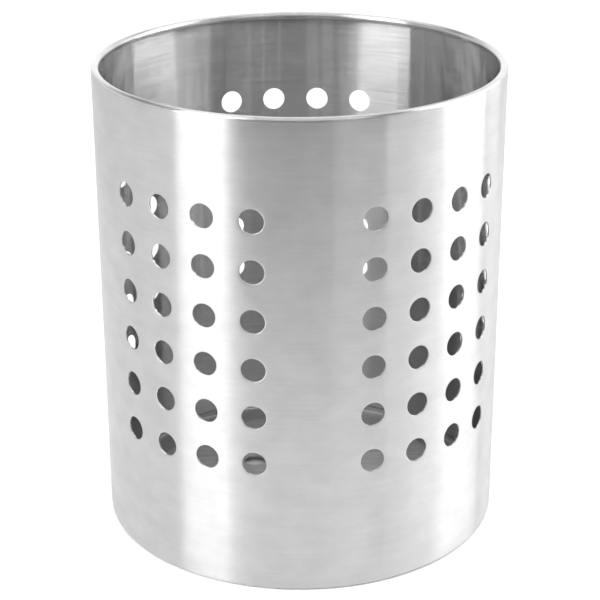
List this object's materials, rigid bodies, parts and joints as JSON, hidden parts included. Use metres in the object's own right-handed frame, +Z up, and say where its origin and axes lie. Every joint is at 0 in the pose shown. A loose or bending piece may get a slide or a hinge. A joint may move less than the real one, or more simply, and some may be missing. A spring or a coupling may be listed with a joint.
{
  "type": "cutlery holder",
  "caption": "Round open cup of brushed stainless-steel sheet with blocks of punched holes, a curled rim and a pressed base plate, for standing cutlery in.",
  "frame": {"origin": "middle of the circle that the holder stands on", "axes": "+Z up along the cup's axis, -Y towards the front, where a plain stretch lies between two blocks of holes"},
  "size_m": [0.12, 0.12, 0.1412],
  "materials": {
    "wall_steel": "brushed round the cup",
    "base_steel": "mill finish, satin"
  },
  "bodies": {
    "root": {"side_wall": "wall_steel", "base_plate": "base_steel"}
  },
  "joints": []
}
